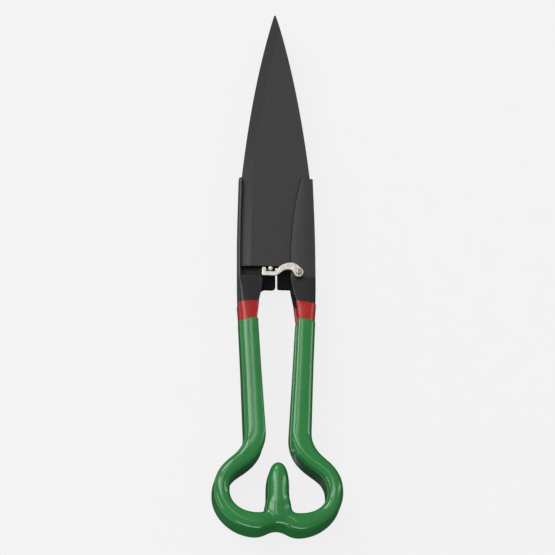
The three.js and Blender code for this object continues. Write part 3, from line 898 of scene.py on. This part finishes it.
def make_blade(side):
    """Flat plate with a ground bevel along the cutting edge and a stop lug at the heel."""
    spine = spine_line()
    edge = spine[::-1] * (-1, 1)
    tip = np.array([[0.0, BLADE_HIGH[1]]])
    lug = [
        (LUG_GAP + LUG_CORNER, LUG_Y),
        (LUG_GAP + LUG_CORNER_CUT, LUG_Y + LUG_CORNER_CUT),
        (LUG_GAP, LUG_Y + LUG_CORNER),
    ]
    outline = np.vstack([edge, tip, spine, WEB, lug, [(LUG_GAP, HEEL_Y)]])
    corner = len(edge) + len(spine)
    last = len(outline) - 1
    above_heel = [*range(corner + 1), last]
    below_heel = [*range(corner, last + 1)]
    high_z = BLADE_HIGH[2]
    low_z = high_z - PLATE
    plate = prism(f"blade_{side}", outline, low_z, high_z, [above_heel, below_heel])
    cut_bevel(plate, edge, high_z)
    add_lug_depth(plate, low_z)
    round_edges(plate, width=0.12, segments=2, degrees=40)
    finish_blade(plate, side)


def cut_bevel(plate, edge, high_z):
    """Takes a long wedge off the front face along the cutting edge."""
    heading = headings(edge)
    inward = np.stack([heading[:, 1], -heading[:, 0]], axis=1)
    rows = [
        (edge + inward * BEVEL_WIDTH, 0.0),
        (edge - inward * CUTTER_SIDE, -BEVEL_SINK * (1 + CUTTER_SIDE / BEVEL_WIDTH)),
        (edge - inward * CUTTER_SIDE, CUTTER_SIDE),
        (edge + inward * BEVEL_WIDTH, CUTTER_SIDE),
    ]
    shifts = [(0, -heading[0] * CUTTER_END)]
    shifts += [(place, 0) for place in range(len(edge))]
    shifts.append((len(edge) - 1, heading[-1] * CUTTER_END))
    bm = bmesh.new()
    verts = [bm.verts.new((*(line[place] + shift), high_z + drop))
             for place, shift in shifts for line, drop in rows]
    for face in loft_faces(len(shifts), len(rows)):
        bm.faces.new([verts[i] for i in face])
    boolean(plate, mesh_object(bm, "bevel_cutter"), "DIFFERENCE")


def add_lug_depth(plate, low_z):
    """The stop lug is thicker than the plate, so that the two lugs face each other."""
    bm = bmesh.new()
    bmesh.ops.create_cube(bm, size=1.0)
    size = (LUG_END - LUG_GAP - LUG_SETBACK, LUG_TOP - LUG_Y, low_z - BLADE_LOW[2] + LUG_OVERLAP)
    centre = (LUG_GAP + size[0] / 2, (LUG_TOP + LUG_Y) / 2, BLADE_LOW[2] + size[2] / 2)
    bm.transform(Matrix.Translation(centre) @ Matrix.Diagonal((*size, 1)))
    corner = [e for e in bm.edges if all(v.co.x < centre[0] and v.co.y < centre[1] for v in e.verts)]
    bmesh.ops.bevel(bm, geom=corner, offset=LUG_ROUND, segments=6, affect="EDGES", profile=0.5)
    boolean(plate, mesh_object(bm, "lug_block"), "UNION")


def finish_blade(plate, side):
    """Shares the faces out between the materials, and puts the blade in its half."""
    mesh = plate.data
    mesh.materials.clear()
    for material in (BLADE, BEVEL, HEEL_SHADE):
        mesh.materials.append(material)
    for polygon in mesh.polygons:
        slanted = BEVEL_LEAN[0] < -polygon.normal.x < BEVEL_LEAN[1] and polygon.normal.z > BEVEL_RISE
        # Faces below the heel line take the heel material, whose colour is painted shade and shadow.
        below = polygon.center.y < HEEL_Y - 0.05
        polygon.material_index = 2 if below else 1 if slanted else 0
    points = np.array([v.co for v in mesh.vertices])
    if side == "left":
        points = half_turned(points)
    mesh.vertices.foreach_set("co", (points * MM).ravel())
    mesh.update()
    shade_smooth(mesh)
    sharpen(plate, degrees=8)
    finish_piece(plate, f"{side}_arm", "coated_blade", f"{side}_blade")


# ---------------------------------------------------------------- latch

# Centre line of the hook's arm: x, y, half width
BAR_Y = -1.75
BAR_HALF = 1.15
HOOK_LINE = [
    (*PIVOT, 2.6),
    (9.9, 2.5, 2.15),
    (6.7, 2.9, 1.95),
    (3.2, 1.8, 1.6),
    (0.6, -0.5, 1.35),
    (-1.2, BAR_Y, BAR_HALF),
    (-4.5, BAR_Y, BAR_HALF),
    (HOOK_LOW[0] + 1.0, BAR_Y, BAR_HALF),
]
BOSS_RADIUS = 2.7
TAB_WIDTH = 2.4
TAB_TOP = 1.9
TAB_ROUND = 1.0
TAB_FOOT_ROUND = 0.6

HEAD_GAP = 0.02
HEAD_RIM = 0.25
HEAD_EDGE = 0.2
RIVET_SHAFT = 1.2
TAIL_RADIUS = 1.9
TAIL_RISE = 0.9
WASHER_EDGE = 0.15
BALL = 1.4
BALL_START = math.asin(-0.75)
STUD_SHAFT = 0.9


def tab_outline():
    """The upright tab at the end of the hook's bar."""
    left, right = HOOK_LOW[0], HOOK_LOW[0] + TAB_WIDTH
    bottom = BAR_Y - BAR_HALF
    top = TAB_TOP - TAB_ROUND
    foot = (left + TAB_FOOT_ROUND, bottom + TAB_FOOT_ROUND)
    return (
        [(right, bottom)]
        + arc((right - TAB_ROUND, top), TAB_ROUND, 0, 1, 8)
        + arc((left + TAB_ROUND, top), TAB_ROUND, 1, 2, 8)
        + arc(foot, TAB_FOOT_ROUND, 2, 3, 4)
    )


def make_hook():
    """S-shaped plate: boss, arched arm, flat bar and upright tab, with rounded edges."""
    line = catmull(HOOK_LINE, steps=10)
    heading = headings(line[:, :2])
    across = np.stack([-heading[:, 1], heading[:, 0]], axis=1) * line[:, 2:3]
    arm = np.vstack([line[:, :2] + across, (line[:, :2] - across)[::-1]])
    boss = arc(PIVOT, BOSS_RADIUS, 0, 4, 48)[:-1]
    low_z, high_z = HOOK_LOW[2], HOOK_HIGH[2]
    hook = prism("hook", arm, low_z, high_z)
    boolean(hook, prism("tab", tab_outline(), low_z, high_z), "UNION")
    boolean(hook, prism("boss", boss, low_z, high_z), "UNION")
    round_edges(hook, width=0.4, segments=4, degrees=50)
    hook.data.transform(Matrix.Scale(MM, 4))
    hook.data.materials.append(NICKEL)
    shade_smooth(hook.data)
    sharpen(hook, degrees=35)
    finish_piece(hook, "latch", "nickel", "latch_hook")


def make_rivet():
    """Rivet with a low domed head on the hook and a countersunk tail."""
    low, high = RIVET_LOW[2], RIVET_HIGH[2]
    radius = (RIVET_HIGH[0] - RIVET_LOW[0]) / 2
    head = HOOK_HIGH[2] + HEAD_GAP
    rise = high - head - HEAD_RIM
    dome = [(radius * math.cos(t), head + HEAD_RIM + rise * math.sin(t))
            for t in np.linspace(0, math.pi / 2, 8)[:-1]]
    tail = [(0, low), (TAIL_RADIUS, low), (RIVET_SHAFT, low + TAIL_RISE)]
    profile = tail + [(RIVET_SHAFT, head), (radius - HEAD_EDGE, head)] + dome + [(0, high)]
    finish_piece(lathe("rivet", profile, PIVOT, RIVET_SHADED), "right_arm", "nickel", "latch_rivet")


def make_washer():
    """Flat washer under the hook, with its rims eased."""
    low, high = WASHER_LOW[2], WASHER_HIGH[2]
    rim = (WASHER_HIGH[0] - WASHER_LOW[0]) / 2
    side = [
        (rim - WASHER_EDGE, low), (rim, low + WASHER_EDGE),
        (rim, high - WASHER_EDGE), (rim - WASHER_EDGE, high),
    ]
    washer = lathe("washer", [(0, low)] + side + [(0, high)], PIVOT, NICKEL)
    finish_piece(washer, "right_arm", "nickel", "latch_washer")


def make_stud():
    """Ball-headed pin with a countersunk tail."""
    low, high = STUD_LOW[2], STUD_HIGH[2]
    ball = [(BALL * math.cos(t), high - BALL + BALL * math.sin(t))
            for t in np.linspace(BALL_START, math.pi / 2, 14)[:-1]]
    tail = [(0, low), (TAIL_RADIUS, low), (STUD_SHAFT, low + TAIL_RISE)]
    stud = lathe("stud", tail + ball + [(0, high)], STUD, NICKEL)
    finish_piece(stud, "left_arm", "nickel", "catch_stud")


# ---------------------------------------------------------------- camera, floor and light

TILT = Vector((-0.10, -0.30, 0.95)).normalized()
TARGET = Vector((0.9, -2.0, 11.0)) * MM
ROLL = math.radians(0.3)
DISTANCE = 8.0
FRAME_WIDTH = 0.3268
SENSOR = 36

FLOOR_REACH = 30
FLOOR_DROP = 0.0002

# Brightness of the surround, and where along its directions each part starts and ends
WORLD_DARK = 0.04
WORLD_PALE = 0.42
WORLD_TABLE = 0.45
HORIZON = (0.0, 0.03)
TABLE_EDGE = (-0.42, -0.3)
TABLE_LEVEL = (-0.1, 0.0)

# Soft lights: name, place in metres, size in metres, watts; each faces the middle of the object
LIGHTS = [
    ("left_softbox", (-0.95, 0.45, 1.15), (0.35, 1.5), 8),
    ("right_softbox", (1.15, 0.35, 0.8), (0.14, 1.5), 2.6),
    ("top_key", (-0.85, 1.15, 0.95), (0.6, 0.5), 8),
    ("low_left", (-1.4, -0.35, 0.25), (0.8, 0.3), 3),
    ("low_front", (-0.2, -1.6, 0.12), (1.4, 0.3), 8),
    ("overhead", (-0.24, 0.5, 1.55), (0.2, 1.2), 2.2),
]


def add_camera():
    """A long lens far above the shears, tilted a little and framing their whole length."""
    data = bpy.data.cameras.new("camera")
    data.sensor_width = SENSOR
    data.lens = SENSOR * DISTANCE / FRAME_WIDTH
    up = (Vector((0, 1, 0)) - TILT * TILT.y).normalized()
    right = up.cross(TILT)
    rotation = Matrix.Rotation(-ROLL, 4, TILT) @ Matrix((right, up, TILT)).transposed().to_4x4()
    camera = link_object("camera", data)
    camera.matrix_world = Matrix.Translation(TARGET + TILT * DISTANCE) @ rotation
    bpy.context.scene.camera = camera


def add_floor():
    """A plain pale floor that stays out of the object's gloss and bounce, as under a raised stand."""
    m = Nodes("floor")
    speckle = m.noise(m.place(), scale=60, detail=2)
    shades = [(0.0, (0.045, 0.045, 0.045)), (1.0, (0.055, 0.055, 0.055))]
    m.feed(m.ramp(speckle, shades), "Base Color")
    m.set(Roughness=0.9, Emission_Color=(1, 1, 1, 1), Emission_Strength=0.83)
    bm = bmesh.new()
    height = CAD_BOX[0][2] - FLOOR_DROP
    corners = [(-1, -1), (1, -1), (1, 1), (-1, 1)]
    bm.faces.new([bm.verts.new((x * FLOOR_REACH, y * FLOOR_REACH, height)) for x, y in corners])
    floor = mesh_object(bm, "floor")
    floor.data.materials.append(m.material)
    floor.visible_glossy = False
    floor.visible_diffuse = False


def world_node(tree, kind, operation, *sources):
    """A calculation node in the surround, with its sources linked in order."""
    node = tree.nodes.new(kind)
    if operation:
        node.operation = operation
    for source, target in zip(sources, node.inputs):
        tree.links.new(source, target)
    return node


def world_step(tree, value, start, end, at_start, at_end):
    """Straight step in the surround's brightness along one direction."""
    node = world_node(tree, "ShaderNodeMapRange", None, value)
    limits = {"From Min": start, "From Max": end, "To Min": at_start, "To Max": at_end}
    for name, limit in limits.items():
        node.inputs[name].default_value = limit
    return node.outputs["Result"]


def add_world():
    """Soft studio surround: pale overhead, a paler table low on the left, dark straight below."""
    world = bpy.data.worlds.new("studio")
    world.use_nodes = True
    tree = world.node_tree
    background = tree.nodes["Background"]
    background.inputs["Strength"].default_value = 1.0
    place = tree.nodes.new("ShaderNodeTexCoord")
    parts = world_node(tree, "ShaderNodeSeparateXYZ", None, place.outputs["Generated"])
    overhead = world_step(tree, parts.outputs["Z"], *HORIZON, WORLD_DARK, WORLD_PALE)
    leftward = world_step(tree, parts.outputs["X"], *TABLE_EDGE, WORLD_TABLE, 0.0)
    below_level = world_step(tree, parts.outputs["Z"], *TABLE_LEVEL, 1.0, 0.0)
    table = world_node(tree, "ShaderNodeMath", "MULTIPLY", leftward, below_level)
    total = world_node(tree, "ShaderNodeMath", "ADD", overhead, table.outputs[0])
    tree.links.new(total.outputs[0], background.inputs["Color"])
    bpy.context.scene.world = world


def add_lights():
    """The soft lights of the table above, each turned to the middle of the object."""
    for name, place, size, power in LIGHTS:
        data = bpy.data.lights.new(name, "AREA")
        data.shape = "RECTANGLE"
        data.size, data.size_y = size
        data.energy = power
        light = link_object(name, data)
        light.location = place
        light.rotation_euler = (-Vector(place)).to_track_quat("-Z", "Y").to_euler()


make_coats()
for half in ("right", "left"):
    make_shank(half)
    make_band(half)
    make_blade(half)
make_hook()
make_rivet()
make_washer()
make_stud()
add_camera()
add_floor()
add_world()
add_lights()
bpy.context.scene.view_settings.view_transform = "Standard"
